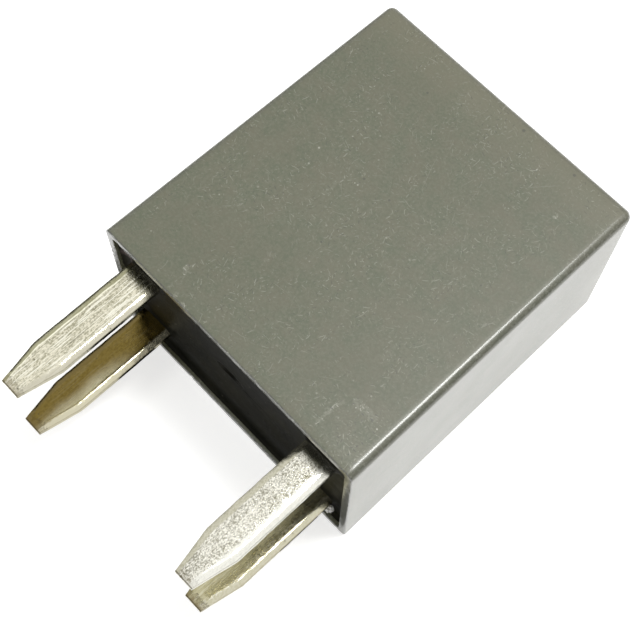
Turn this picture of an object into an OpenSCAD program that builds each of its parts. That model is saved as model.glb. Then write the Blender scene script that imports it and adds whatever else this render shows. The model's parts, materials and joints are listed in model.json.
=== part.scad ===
// Plug-in relay with four flat blades under a closed cover, lying on its back.
// +X runs across the width, +Y from the open rim to the closed end, +Z out of the wide front.
// The origin is the middle of the cover's rim, where the relay seats in its socket.

/* [Cover] */
// Width of the cover at its rim
cover_w = 23; // [22.4:0.1:32]
// Thickness of the cover at its rim
cover_t = 15.2; // [14.4:0.1:24]
// Height of the cover, from the rim to the closed end
cover_h = 26; // [21:0.1:40]
// How far each side leans in by the closed end
cover_draft = 0.2; // [0:0.05:0.4]
// Rounding of the outside edges
edge_r = 0.6; // [0.3:0.05:1]
// Wall of the skirt round the base
skirt_wall = 0.65; // [0.5:0.05:0.8]
// Wall of the sides above the base
side_wall = 0.9; // [0.8:0.05:1.1]
// Wall of the closed end
end_wall = 0.8; // [0.6:0.05:1.5]
// Width of the guide ribs inside the cover
guide_rib_w = 0.8; // [0.4:0.1:1.2]

/* [Blades] */
// Width of a blade
blade_w = 2.8; // [2.2:0.1:3.4]
// Thickness of the terminals' sheet
blade_t = 0.8; // [0.6:0.05:1]
// Length of a blade below the rim
blade_l = 11.1; // [8:0.1:16]
// Width of a blade's blunt end
blade_tip_w = 1.5; // [1:0.1:2]
// Length of a blade's taper
blade_taper_l = 3.2; // [2:0.1:5]
// Width of the bevel along a blade's long edges
blade_bevel_w = 0.45; // [0.1:0.05:0.5]
// Length of the bevel at a blade's end
tip_bevel_l = 0.9; // [0.4:0.1:1.6]
// Distance between the two pairs of blades, across the width
pin_pitch_x = 16.8; // [16:0.1:18]
// Distance between the two blades of a pair
pin_pitch_z = 8; // [7.6:0.1:8.6]
// How far the blades stand in front of the cover's middle
pin_offset_z = 0.2; // [0:0.05:0.4]

/* [Base] */
// Depth of the sealed underside below the rim
rim_recess = 0.6; // [0.3:0.1:1.5]
// Depth of the poured sealant
sealant_t = 0.6; // [0.3:0.1:1]
// Thickness of the base plate
base_t = 2.4; // [2:0.1:4]
// Gap between the base and what it fits
fit_gap = 0.03; // [0.02:0.01:0.06]
// Height of the posts that hold the coil terminals
post_h = 1.6; // [1:0.1:2]
// Height of the tower that holds the contact terminal
tower_h = 3; // [2:0.1:5]

/* [Magnet] */
// Thickness of the yoke's sheet
yoke_t = 1.5; // [1.2:0.1:1.8]
// Width of the yoke
yoke_w = 9; // [8:0.1:9.4]
// Inside radius of the yoke's bend
yoke_bend_r = 0.5; // [0.3:0.1:1]
// Diameter of the core
core_d = 5; // [4:0.1:6]
// Diameter of the core's pole face
pole_d = 8; // [7:0.1:9]
// Thickness of the core's pole face
pole_t = 1; // [0.8:0.1:1.4]
// Diameter of the core's riveted end
tenon_d = 3.4; // [2.8:0.1:3.8]
// Wall of the bobbin's tube
bobbin_wall = 0.75; // [0.5:0.05:1]
// Width across the bobbin's flanges
flange_w = 11.4; // [11:0.1:11.6]
// Thickness of the bobbin's flanges
flange_t = 1; // [0.7:0.1:1.2]
// Diameter of the winding
winding_d = 10.8; // [9:0.1:11]
// Diameter of the winding's wire ends
wire_d = 0.2; // [0.15:0.01:0.24]

/* [Armature and contacts] */
// Thickness of the armature
armature_t = 1.2; // [1:0.1:1.5]
// Width of the armature
armature_w = 8.8; // [8.6:0.1:9]
// Angle of the open armature to the pole face
open_angle = 2.2; // [1.6:0.1:2.6]
// How far the contact spring is bent once the contacts have met
overtravel = 0.12; // [0.06:0.01:0.2]
// Thickness of the contact spring
spring_t = 0.25; // [0.15:0.01:0.3]
// Width of the contact spring
spring_w = 6; // [5:0.1:6.4]
// Inside radius of the contact spring's bend
spring_bend_r = 0.6; // [0.5:0.05:0.8]
// Diameter of the moving contact
contact_d = 2.5; // [2:0.1:2.8]
// Height of each contact's head
contact_h = 0.8; // [0.6:0.05:1]
// Room between the pole face and the inside of the closed end
top_room = 4.6; // [4.4:0.1:6]
// Thickness of the rest stop's strip
stop_t = 0.6; // [0.4:0.05:0.8]
// Width of the rest stop's strip
stop_w = 3.2; // [2:0.1:4]

/* [Suppression resistor] */
// Diameter of the resistor's body
resistor_d = 1.5; // [1.2:0.1:1.6]
// Length of the resistor's body
resistor_l = 3.6; // [3:0.1:4.4]
// Diameter of the resistor's wires
resistor_wire_d = 0.45; // [0.3:0.05:0.5]

/* [Hidden] */

$fn = 48;
eps = 0.01;
hull_fn = 32;
dome_steps = 6;
skirt_r = 0.35;
cavity_r = 0.4;

// Heights of the stack, counted from the rim
base_y = rim_recess + sealant_t;
base_top = base_y + base_t;
yoke_y = base_top + blade_t;
coil_y = yoke_y + yoke_t;
pole_y = cover_h - end_wall - top_room;
flange_top_y = pole_y - pole_t;
winding_y = coil_y + flange_t;
winding_top_y = flange_top_y - flange_t;

// Places across the width
pin_x = pin_pitch_x / 2;
pin_front_z = pin_offset_z + pin_pitch_z / 2;
pin_back_z = pin_offset_z - pin_pitch_z / 2;
pins = [
    [-pin_x, pin_front_z], [-pin_x, pin_back_z],
    [pin_x, pin_front_z], [pin_x, pin_back_z],
];
spare_slot_offset = 0.4;
spare_slot_z = pin_offset_z + spare_slot_offset;
tail_w = 1;
tail_h = 4;
tail_offset = 1.2;
tail_top = base_top + tail_h;
post_wall = 0.25;
// the tails stand beyond their blades, as far as the posts round them fit in the cover
post_limit_x = half_w(tail_top) - side_wall - fit_gap - post_wall - tail_w / 2;
tail_x = -min(pin_x + tail_offset, post_limit_x);
tail_slot = 1.1;
yoke_gap = 0.5;
pivot_x = tail_x + tail_w / 2 + yoke_gap;
coil_gap = 0.2;
coil_x = pivot_x + yoke_t + coil_gap + flange_w / 2;
contact_offset = 1.3;
contact_x = pin_x - contact_offset;

// The contacts meet before the armature lies flat on the pole face, by the overtravel
contact_clearance = 0.02;
contact_meet_y = pole_y + armature_t - contact_h + overtravel - contact_clearance;
tab_top = contact_meet_y - contact_h;

// Armature and yoke top
heel_gap = 0.1;
horn_w = 0.6;
horn_h = 0.9;
horn_gap = 0.1;
armature_overhang = 1.4;
armature_end_x = coil_x + pole_d / 2 + armature_overhang;
nose_w = 4.8;
nose_l = 2.4;
arm_rivet_reach = 2.1;
arm_rivet_x = pivot_x + arm_rivet_reach;
arm_rivet_z = 2.2;
leg_rivet_y = 11;
leg_rivet_z = 1.6;
leg_end = 2.2;
leg_bottom_y = leg_rivet_y - leg_end;
rivet_d = 1.3;
rivet_head_d = 2.1;
rivet_head_h = 0.45;
upset_d = 1.9;
upset_h = 0.4;
tenon_head_d = tenon_d + 0.8;

// Joint of the common terminal to the yoke
joint_gap = 1.9;
joint_x = coil_x + flange_w / 2 + joint_gap;
joint_z = 0.6;
joint_head_d = 2.2;
joint_room_d = 2.8;
tongue_w = 4.4;
tab_edge = 1.4;
bend_r = 0.3;
shoulder_h = 0.7;
common_tab_x = [joint_x - tab_edge, pin_x];

// Contact terminal
tab_w = 3;
tab_reach_z = 1.6;
upright_edge = 1;

// Rest stop over the tip of the contact spring
stop_offset = 2.5;
stop_x = contact_x + stop_offset;
stop_bend_r = 0.4;
stop_reach = 1.1;
stop_depth = 1.6;
spring_tip_past = 1.8;
spring_tip_x = contact_x + spring_tip_past;
spring_tip_w = 3.4;

function half_w(y) = cover_w / 2 - cover_draft * y / cover_h;
function half_t(y) = cover_t / 2 - cover_draft * y / cover_h;

// A flat outline drawn in X and Z, raised from height y0 to y1
module slab(y0, y1) {
    translate([0, y1, 0])
        rotate([90, 0, 0])
            linear_extrude(y1 - y0)
                children();
}

// A flat outline drawn in X and Y, centred on z
module sheet(z, thickness) {
    translate([0, 0, z - thickness / 2])
        linear_extrude(thickness)
            children();
}

module rod_y(d, y0, y1) {
    translate([0, y0, 0])
        rotate([-90, 0, 0])
            cylinder(d = d, h = y1 - y0);
}

module rod_x(d, x0, x1) {
    translate([x0, 0, 0])
        rotate([0, 90, 0])
            cylinder(d = d, h = x1 - x0);
}

module rod_z(d, z0, z1) {
    translate([0, 0, z0])
        cylinder(d = d, h = z1 - z0);
}

// A cone along Y, as under a countersunk rivet
module cone_y(d0, d1, y0, y1) {
    translate([0, y0, 0])
        rotate([-90, 0, 0])
            cylinder(d1 = d0, d2 = d1, h = y1 - y0);
}

module box(x, y, z) {
    translate([x[0], y[0], z[0]])
        cube([x[1] - x[0], y[1] - y[0], z[1] - z[0]]);
}

module rounded_rect(w, h, r) {
    square([w - 2 * r, h], center = true);
    square([w, h - 2 * r], center = true);
    for (sx = [-1, 1], sy = [-1, 1])
        translate([sx * (w / 2 - r), sy * (h / 2 - r)])
            circle(r = r);
}

// A quarter of a bent sheet round the Z axis, from the angle start to start + sweep
module elbow(inside_r, thickness, width, start, sweep) {
    rotate([0, 0, start])
        rotate_extrude(angle = sweep)
            translate([inside_r, -width / 2])
                square([thickness, width]);
}

// What is drawn with the armature flat on the pole face, turned to its open place
module opened() {
    translate([pivot_x, pole_y, 0])
        rotate([0, 0, open_angle])
            translate([-pivot_x, -pole_y, 0])
                children();
}

// A thin disc across Y that narrows to one side of y, so that only its rim at y shapes a hull
module rim_disc(r, y, side) {
    translate([0, y, 0])
        rotate([-90 * side, 0, 0])
            cylinder(r1 = r, r2 = r - eps, h = eps, $fn = hull_fn);
}

// The round end of a rod along Y, in rings that line up with its sides
module dome(r, y) {
    for (i = [0:dome_steps - 1]) {
        a0 = 90 * i / dome_steps;
        a1 = 90 * (i + 1) / dome_steps;
        translate([0, y - r + r * sin(a0), 0])
            rotate([-90, 0, 0])
                cylinder(r1 = r * cos(a0), r2 = r * cos(a1), h = r * (sin(a1) - sin(a0)), $fn = hull_fn);
    }
}

// A leaning block with the cover's own taper, set in from its outside
module cover_block(inset, y0, y1, r, round_end) {
    hull()
        for (sx = [-1, 1], sz = [-1, 1]) {
            translate([sx * (half_w(y0) - inset - r), 0, sz * (half_t(y0) - inset - r)])
                rim_disc(r, y0, 1);
            translate([sx * (half_w(y1) - inset - r), 0, sz * (half_t(y1) - inset - r)])
                if (round_end)
                    dome(r, y1);
                else
                    rim_disc(r, y1, -1);
        }
}

module cover() {
    rib_z = half_t(cover_h) - side_wall;
    rib_d = 0.4;
    rib_root = 0.3;
    rib_y0 = base_top + tower_h + 1;
    color("#81836f") {
        difference() {
            cover_block(0, 0, cover_h, edge_r, true);
            cover_block(skirt_wall, -1, base_top, skirt_r, false);
            cover_block(side_wall, base_top - eps, cover_h - end_wall, cavity_r, true);
        }
        for (sx = [-1, 1], sz = [-1, 1])
            box([sx * pin_x - guide_rib_w / 2, sx * pin_x + guide_rib_w / 2],
                [rib_y0, cover_h - end_wall + rib_root],
                [sz > 0 ? rib_z - rib_d : -rib_z - rib_root, sz > 0 ? rib_z + rib_root : -rib_z + rib_d]);
    }
}

module blade_outline(side_inset, tip_inset) {
    half = blade_w / 2 - side_inset;
    tip = blade_tip_w / 2 - side_inset;
    polygon([
        [-half, rim_recess], [half, rim_recess],
        [half, blade_taper_l - blade_l], [tip, tip_inset - blade_l],
        [-tip, tip_inset - blade_l], [-half, blade_taper_l - blade_l],
    ]);
}

// A blade below the sealant, with bevelled edges and end
module blade() {
    bevel_h = blade_t / 4;
    hull() {
        sheet(0, blade_t)
            blade_outline(blade_bevel_w, tip_bevel_l);
        sheet(0, blade_t - 2 * bevel_h)
            blade_outline(0, 0);
    }
}

// A straight opening round each of the four blades
module pin_openings(y0, y1, gap) {
    for (p = pins)
        translate([p[0], 0, p[1]])
            box([-blade_w / 2 - gap, blade_w / 2 + gap], [y0, y1], [-blade_t / 2 - gap, blade_t / 2 + gap]);
}

module coil_terminal(z) {
    tail = tail_x + pin_x;
    lead_slot = resistor_wire_d + 2 * fit_gap;
    translate([-pin_x, 0, z]) {
        blade();
        difference() {
            sheet(0, blade_t)
                polygon([
                    [-blade_w / 2, rim_recess], [blade_w / 2, rim_recess], [blade_w / 2, base_top],
                    [tail + tail_w / 2, base_top], [tail + tail_w / 2, tail_top],
                    [tail - tail_w / 2, tail_top], [tail - tail_w / 2, base_top],
                    [-blade_w / 2, base_top],
                ]);
            box([tail - lead_slot / 2, tail + lead_slot / 2], [tail_top - tail_slot, tail_top + 1], [-1, 1]);
        }
    }
}

module coil_terminal_front() {
    color("#cfc8a8") coil_terminal(pin_front_z);
}

module coil_terminal_back() {
    color("#cfc8a8") coil_terminal(pin_back_z);
}

module common_terminal() {
    bend_y = base_top - bend_r;
    bend_z = pin_front_z - blade_t / 2 - bend_r;
    tab_z0 = joint_z - tongue_w / 2;
    sheet_z = [pin_front_z - blade_t / 2, pin_front_z + blade_t / 2];
    color("#cfc8a8") {
        translate([pin_x, 0, pin_front_z])
            blade();
        box([pin_x - blade_w / 2, pin_x + blade_w / 2], [rim_recess, bend_y], sheet_z);
        box(common_tab_x, [base_top - shoulder_h, bend_y], sheet_z);
        translate([(common_tab_x[0] + common_tab_x[1]) / 2, bend_y, bend_z])
            rotate([0, -90, 0])
                elbow(bend_r, blade_t, common_tab_x[1] - common_tab_x[0], 0, 90);
        difference() {
            box(common_tab_x, [base_top, yoke_y], [tab_z0, bend_z]);
            translate([joint_x, 0, joint_z])
                rod_y(rivet_d, base_top - 1, yoke_y + 1);
        }
    }
}

module contact_terminal() {
    bend_y = tab_top - blade_t - bend_r;
    bend_z = pin_back_z + blade_t / 2 + bend_r;
    tab_x0 = contact_x - tab_w / 2;
    tab_x1 = contact_x + tab_w / 2;
    foot_x1 = pin_x + upright_edge;
    neck_y = tab_top - 4;
    color("#cfc8a8") {
        translate([pin_x, 0, pin_back_z])
            blade();
        sheet(pin_back_z, blade_t)
            polygon([
                [pin_x - blade_w / 2, rim_recess], [pin_x + blade_w / 2, rim_recess],
                [pin_x + blade_w / 2, base_top], [foot_x1, base_top], [foot_x1, neck_y - 1],
                [tab_x1, neck_y], [tab_x1, bend_y], [tab_x0, bend_y],
                [tab_x0, base_top], [pin_x - blade_w / 2, base_top],
            ]);
        translate([contact_x, bend_y, bend_z])
            rotate([0, 90, 0])
                elbow(bend_r, blade_t, tab_w, 0, 90);
        difference() {
            box([tab_x0, tab_x1], [tab_top - blade_t, tab_top], [bend_z, tab_reach_z]);
            translate([contact_x, 0, 0])
                rod_y(rivet_d, tab_top - 2, tab_top + 1);
        }
    }
}

module sealant() {
    dimple_l = 2.8;
    dimple_w = 1.3;
    dimple_depth = 0.35;
    color("#23231c")
        difference() {
            slab(rim_recess, base_y)
                rounded_rect(2 * (half_w(base_y) - skirt_wall - fit_gap / 2),
                    2 * (half_t(base_y) - skirt_wall - fit_gap / 2), skirt_r);
            pin_openings(0, base_top, 0);
            slab(0, rim_recess + dimple_depth)
                translate([0, spare_slot_z])
                    rounded_rect(dimple_l, dimple_w, dimple_w / 2 - eps);
        }
}

module base() {
    wide = 2 * (half_w(base_top) - skirt_wall - fit_gap);
    deep = 2 * (half_t(base_top) - skirt_wall - fit_gap);
    tower_wall = 0.6;
    stop_z = stop_w / 2;
    pad_x = [pivot_x + 0.6, coil_x - tenon_d / 2 - 1.6];
    pad_z = [1.5, 4];
    color("#2a2a24")
        difference() {
            union() {
                slab(base_y, base_top)
                    rounded_rect(wide, deep, skirt_r);
                // pads under the yoke
                for (sz = [-1, 1])
                    box(pad_x, [base_top - eps, yoke_y], sz > 0 ? pad_z : [-pad_z[1], -pad_z[0]]);
                // posts round the coil terminals' tails
                for (z = [pin_front_z, pin_back_z])
                    box([tail_x - tail_w / 2 - post_wall, tail_x + tail_w / 2 + post_wall],
                        [base_top - eps, base_top + post_h],
                        [z - blade_t / 2 - tower_wall, z + blade_t / 2 + tower_wall]);
                // tower round the contact terminal's upright
                box([contact_x - tab_w / 2 - tower_wall, pin_x + upright_edge + tower_wall],
                    [base_top - eps, base_top + tower_h],
                    [pin_back_z - blade_t / 2 - tower_wall, pin_back_z + blade_t / 2 + tower_wall]);
                // collar round the foot of the rest stop
                box([stop_x - tower_wall, stop_x + stop_t + post_wall], [base_top - eps, base_top + post_h],
                    [-stop_z - post_wall, stop_z + post_wall]);
            }
            pin_openings(0, base_top, fit_gap);
            // slots for the tails and for the upright
            for (z = [pin_front_z, pin_back_z])
                box([tail_x - tail_w / 2 - fit_gap, tail_x + tail_w / 2 + fit_gap],
                    [base_top, base_top + post_h + 1],
                    [z - blade_t / 2 - fit_gap, z + blade_t / 2 + fit_gap]);
            box([contact_x - tab_w / 2 - fit_gap, pin_x + upright_edge + fit_gap],
                [base_top, base_top + tower_h + 1],
                [pin_back_z - blade_t / 2 - fit_gap, pin_back_z + blade_t / 2 + fit_gap]);
            // recess for the common terminal's shoulders and bend
            box([common_tab_x[0] - fit_gap, common_tab_x[1] + fit_gap],
                [base_top - shoulder_h - fit_gap, base_top + 1],
                [pin_front_z - blade_t / 2 - bend_r, pin_front_z + blade_t / 2 + fit_gap]);
            // room for the terminal rivet's head
            translate([joint_x, 0, joint_z])
                rod_y(joint_room_d, base_top - rivet_head_h - 0.15, base_top + 1);
            // blind slot for the rest stop
            box([stop_x - fit_gap, stop_x + stop_t + fit_gap],
                [base_top - stop_depth, base_top + post_h + 1], [-stop_z - fit_gap, stop_z + fit_gap]);
            // the middle slot that this version leaves empty
            box([-blade_w / 2, blade_w / 2], [base_y - 1, base_y + 1.2],
                [spare_slot_z - blade_t / 2, spare_slot_z + blade_t / 2]);
        }
}

module yoke() {
    outside_r = yoke_bend_r + yoke_t;
    flange_x1 = coil_x + flange_w / 2 + 0.1;
    color("#b9bdc0")
        difference() {
            union() {
                box([pivot_x, pivot_x + yoke_t], [yoke_y + outside_r, pole_y], [-yoke_w / 2, yoke_w / 2]);
                for (z = [-yoke_w / 2, yoke_w / 2 - horn_w])
                    box([pivot_x, pivot_x + yoke_t], [pole_y - eps, pole_y + horn_h], [z, z + horn_w]);
                translate([pivot_x + outside_r, yoke_y + outside_r, 0])
                    elbow(yoke_bend_r, yoke_t, yoke_w, 180, 90);
                box([pivot_x + outside_r, flange_x1], [yoke_y, coil_y], [-yoke_w / 2, yoke_w / 2]);
                box([flange_x1 - eps, joint_x + tab_edge], [yoke_y, coil_y],
                    [joint_z - tongue_w / 2, joint_z + tongue_w / 2]);
            }
            translate([coil_x, 0, 0]) {
                rod_y(tenon_d, yoke_y - 1, coil_y + 1);
                cone_y(tenon_head_d, tenon_d, yoke_y, yoke_y + upset_h);
            }
            for (sz = [-1, 1])
                translate([0, leg_rivet_y, sz * leg_rivet_z]) {
                    rod_x(rivet_d, pivot_x - 1, pivot_x + yoke_t + 1);
                    translate([pivot_x + yoke_t - upset_h, 0, 0])
                        rotate([0, 90, 0])
                            cylinder(d1 = rivet_d, d2 = upset_d, h = upset_h);
                }
            translate([joint_x, 0, joint_z])
                rod_y(rivet_d, yoke_y - 1, coil_y + 1);
        }
}

module core() {
    color("#c4c6c6")
        translate([coil_x, 0, 0]) {
            rod_y(core_d, coil_y, flange_top_y);
            rod_y(pole_d, flange_top_y, pole_y);
            rod_y(tenon_d, yoke_y, coil_y);
            cone_y(tenon_head_d, tenon_d, yoke_y, yoke_y + upset_h);
        }
}

module bobbin() {
    corner_r = 1.5;
    tube_d = core_d + 2 * bobbin_wall;
    notch = 0.6;
    color("#e6e1d0")
        translate([coil_x, 0, 0])
            difference() {
                union() {
                    slab(coil_y, winding_y)
                        rounded_rect(flange_w, flange_w, corner_r);
                    slab(winding_top_y, flange_top_y)
                        rounded_rect(flange_w, flange_w, corner_r);
                    rod_y(tube_d, coil_y, flange_top_y);
                }
                rod_y(core_d + 2 * fit_gap, coil_y - 1, flange_top_y + 1);
                // the lower flange clears the inside of the yoke's bend
                translate([-flange_w / 2, coil_y, 0])
                    rotate([0, 0, 45])
                        cube([yoke_bend_r, yoke_bend_r, flange_w + 1], center = true);
                // notches in the lower flange that guide the wire ends
                for (sz = [-1, 1])
                    box([-flange_w / 2 - 1, -flange_w / 2 + notch], [coil_y - 1, winding_y + 1],
                        [sz * flange_w / 4 - notch / 2, sz * flange_w / 4 + notch / 2]);
            }
}

// One end of the coil's wire, from the winding round the yoke to a tail
module wire_end(side, pin_z) {
    y = winding_y + 1.5 * wire_d;
    z = side * (yoke_w / 2 + 0.6);
    route = [
        [coil_x - 1.3, y, z],
        [pivot_x, y, z],
        [tail_x, y, pin_z + side * (blade_t / 2 + wire_d)],
    ];
    for (i = [0, 1])
        hull()
            for (p = [route[i], route[i + 1]])
                translate(p)
                    sphere(d = wire_d, $fn = 12);
}

module winding() {
    color("#a4552a") {
        difference() {
            translate([coil_x, 0, 0])
                rod_y(winding_d, winding_y, winding_top_y);
            translate([coil_x, 0, 0])
                rod_y(core_d + 2 * bobbin_wall, winding_y - 1, winding_top_y + 1);
        }
        wire_end(1, pin_front_z);
        wire_end(-1, pin_back_z);
    }
}

module armature() {
    heel_half = yoke_w / 2 - horn_w - horn_gap;
    shoulder_x = pivot_x + yoke_t + horn_gap + 0.1;
    half = armature_w / 2;
    nose_x = armature_end_x - nose_l;
    y1 = pole_y + armature_t;
    chamfer = spring_bend_r;
    color("#b4b8ba")
        opened()
            difference() {
                slab(pole_y, y1)
                    polygon([
                        [pivot_x + heel_gap, -heel_half], [shoulder_x, -heel_half], [shoulder_x, -half],
                        [nose_x, -half], [armature_end_x, -nose_w / 2], [armature_end_x, nose_w / 2],
                        [nose_x, half], [shoulder_x, half], [shoulder_x, heel_half],
                        [pivot_x + heel_gap, heel_half],
                    ]);
                // the heel is chamfered where the spring bends round it
                sheet(0, yoke_w + 1)
                    polygon([
                        [pivot_x, y1 - chamfer - heel_gap], [pivot_x + chamfer + 2 * heel_gap, y1 + heel_gap],
                        [pivot_x, y1 + heel_gap],
                    ]);
                for (sz = [-1, 1])
                    translate([arm_rivet_x, 0, sz * arm_rivet_z]) {
                        rod_y(rivet_d, pole_y - 1, y1 + 1);
                        cone_y(upset_d, rivet_d, pole_y, pole_y + upset_h);
                    }
            }
}

module contact_spring() {
    half = spring_w / 2;
    tip = spring_tip_w / 2;
    // middle of the bend, in line with the yoke's face and the opened armature's top
    rise = (armature_t - spring_bend_r + spring_bend_r * sin(open_angle)) / cos(open_angle);
    bend_along = spring_bend_r * cos(open_angle) + rise * sin(open_angle);
    y0 = pole_y + armature_t;
    slot_half = 1;
    color("#c58a56")
        difference() {
            union() {
                box([pivot_x - spring_t, pivot_x], [leg_bottom_y, pole_y + rise], [-half, half]);
                translate([pivot_x + spring_bend_r, pole_y + rise, 0])
                    elbow(spring_bend_r, spring_t, spring_w, 90 + open_angle, 90 - open_angle);
                opened()
                    slab(y0, y0 + spring_t)
                        polygon([
                            [pivot_x + bend_along, -half], [armature_end_x - 1, -half],
                            [armature_end_x + 1, -tip], [spring_tip_x, -tip],
                            [spring_tip_x, tip], [armature_end_x + 1, tip],
                            [armature_end_x - 1, half], [pivot_x + bend_along, half],
                        ]);
            }
            // the slot that leaves two soft strips round the bend
            box([pivot_x - 1, pivot_x + 1.1], [pole_y - 3, pole_y + 4], [-slot_half, slot_half]);
            for (sz = [-1, 1])
                translate([0, leg_rivet_y, sz * leg_rivet_z])
                    rod_x(rivet_d, pivot_x - 1, pivot_x + 1);
            opened() {
                for (sz = [-1, 1])
                    translate([arm_rivet_x, 0, sz * arm_rivet_z])
                        rod_y(rivet_d, y0 - 1, y0 + 1);
                translate([contact_x, 0, 0])
                    rod_y(rivet_d, y0 - 1, y0 + 1);
            }
        }
}

module moving_contact() {
    y0 = pole_y + armature_t;
    dome_r = 4;
    color("#d9dadb")
        opened()
            translate([contact_x, 0, 0]) {
                intersection() {
                    rod_y(contact_d, y0 - contact_h, y0);
                    translate([0, y0 - contact_h + dome_r, 0])
                        sphere(r = dome_r);
                }
                rod_y(rivet_d, y0 - eps, y0 + spring_t);
                rod_y(upset_d, y0 + spring_t, y0 + 2 * spring_t);
            }
}

module fixed_contact() {
    color("#d9dadb")
        translate([contact_x, 0, 0]) {
            rod_y(contact_d + 0.3, tab_top, contact_meet_y);
            rod_y(rivet_d, tab_top - blade_t, tab_top);
            rod_y(upset_d, tab_top - blade_t - 0.3, tab_top - blade_t);
        }
}

module spring_rivets() {
    x0 = pivot_x - spring_t;
    x1 = pivot_x + yoke_t;
    color("#c9b27a")
        for (sz = [-1, 1])
            translate([0, leg_rivet_y, sz * leg_rivet_z]) {
                rod_x(rivet_head_d, x0 - rivet_head_h, x0);
                rod_x(rivet_d, x0, x1);
                translate([x1 - upset_h, 0, 0])
                    rotate([0, 90, 0])
                        cylinder(d1 = rivet_d, d2 = upset_d, h = upset_h);
            }
}

module armature_rivets() {
    y1 = pole_y + armature_t + spring_t;
    color("#c9b27a")
        opened()
            for (sz = [-1, 1])
                translate([arm_rivet_x, 0, sz * arm_rivet_z]) {
                    rod_y(rivet_head_d, y1, y1 + rivet_head_h);
                    rod_y(rivet_d, pole_y, y1);
                    cone_y(upset_d, rivet_d, pole_y, pole_y + upset_h);
                }
}

module terminal_rivet() {
    color("#c9b27a")
        translate([joint_x, 0, joint_z]) {
            rod_y(joint_head_d, base_top - rivet_head_h, base_top);
            rod_y(rivet_d, base_top, coil_y);
            rod_y(joint_head_d, coil_y, coil_y + rivet_head_h);
        }
}

module rest_stop() {
    reach = spring_tip_x - pivot_x;
    spring_top = pole_y + reach * sin(open_angle) + (armature_t + spring_t) * cos(open_angle);
    arm_y = spring_top + eps;
    bend_y = arm_y - stop_bend_r;
    half = stop_w / 2;
    color("#c4c6c6") {
        box([stop_x, stop_x + stop_t], [base_top - stop_depth, bend_y], [-half, half]);
        translate([stop_x - stop_bend_r, bend_y, 0])
            elbow(stop_bend_r, stop_t, stop_w, 0, 90);
        box([stop_x - stop_bend_r - stop_reach, stop_x - stop_bend_r], [arm_y, arm_y + stop_t], [-half, half]);
    }
}

module suppression_resistor() {
    y = tail_top - tail_slot + resistor_wire_d / 2;
    cap_d = resistor_d + 0.2;
    cap_l = 0.8;
    wire_past = 0.3;
    color("#8fa9b8")
        translate([tail_x, y, 0]) {
            rod_z(resistor_wire_d, pin_back_z - blade_t / 2 - wire_past, pin_front_z + blade_t / 2 + wire_past);
            rod_z(resistor_d, pin_offset_z - resistor_l / 2 + cap_l / 2, pin_offset_z + resistor_l / 2 - cap_l / 2);
            for (z = [pin_offset_z - resistor_l / 2, pin_offset_z + resistor_l / 2 - cap_l])
                rod_z(cap_d, z, z + cap_l);
        }
}

module solder_joints() {
    blob_d = 1.5;
    y = tail_top - tail_slot + 0.4;
    color("#c9ccd0")
        difference() {
            for (z = [pin_front_z, pin_back_z])
                translate([tail_x, y, z])
                    sphere(d = blob_d);
            coil_terminal_front();
            coil_terminal_back();
            suppression_resistor();
            wire_end(1, pin_front_z);
            wire_end(-1, pin_back_z);
        }
}

cover();
base();
sealant();
coil_terminal_front();
coil_terminal_back();
common_terminal();
contact_terminal();
yoke();
core();
bobbin();
winding();
armature();
contact_spring();
moving_contact();
fixed_contact();
spring_rivets();
armature_rivets();
terminal_rivet();
rest_stop();
suppression_resistor();
solder_joints();
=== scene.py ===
"""A plug-in automotive relay lying on its back: a grey moulded cap, poured resin and four tin plated blades.

The cover, the resin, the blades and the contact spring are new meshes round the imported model.
The other parts keep their CAD shapes.
Lengths are in millimetres and angles in degrees unless a name or a comment says otherwise.
"""

import json
import math
import random

import bmesh
import bpy
from mathutils import Matrix, Vector, noise


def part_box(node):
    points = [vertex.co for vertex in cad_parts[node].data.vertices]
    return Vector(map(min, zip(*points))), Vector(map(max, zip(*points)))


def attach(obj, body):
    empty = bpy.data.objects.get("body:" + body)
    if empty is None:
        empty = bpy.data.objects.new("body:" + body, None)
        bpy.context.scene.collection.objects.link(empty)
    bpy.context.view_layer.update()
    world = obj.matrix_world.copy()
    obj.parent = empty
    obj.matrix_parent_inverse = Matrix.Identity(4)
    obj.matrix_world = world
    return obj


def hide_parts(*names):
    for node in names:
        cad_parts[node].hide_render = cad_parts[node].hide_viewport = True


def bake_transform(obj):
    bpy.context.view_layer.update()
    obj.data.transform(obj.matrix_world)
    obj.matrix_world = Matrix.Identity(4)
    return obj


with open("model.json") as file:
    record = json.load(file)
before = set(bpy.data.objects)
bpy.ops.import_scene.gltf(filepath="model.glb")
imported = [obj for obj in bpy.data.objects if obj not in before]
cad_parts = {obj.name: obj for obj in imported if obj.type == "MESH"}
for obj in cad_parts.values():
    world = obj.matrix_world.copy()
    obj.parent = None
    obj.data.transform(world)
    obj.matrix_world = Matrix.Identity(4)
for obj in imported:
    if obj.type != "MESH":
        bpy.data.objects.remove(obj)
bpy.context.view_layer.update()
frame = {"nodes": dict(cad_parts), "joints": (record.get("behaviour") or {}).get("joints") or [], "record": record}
MM = 0.001

# The moulded cover, where the frame's boxes don't give its sizes
COVER_DRAFT = 0.2
EDGE_R = 0.6
SKIRT_WALL = 0.65
SKIRT_R = 0.35
SIDE_WALL = 0.9
END_WALL = 0.8
CAVITY_R = 0.4
LEDGE_Y = 3.6
LEDGE_DROP = 0.01
RIM_ROUND = 0.07
INNER_LEAST_R = 0.05
OUTER_LEAST_R = 0.03

# How its faces sink, from which share of the half size on, and how its rim is nicked
SINK = 0.03
WIDE_FACE_FROM = 0.9
NARROW_FACE_FROM = 0.93
NICKED_BAND = 0.5
NICK_PLACE_SCALE = 1.9
NICK_SCALE, NICK_FROM, NICK_DEPTH = 1.6, 0.32, 0.22
RIM_WAVE_SCALE, RIM_WAVE_DEPTH = 0.5, 0.012
# Where a rounded edge's wear and painted shade are full, as a share of the way into it
EDGE_WEAR_AND_SHADE_FULL = 0.7

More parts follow.
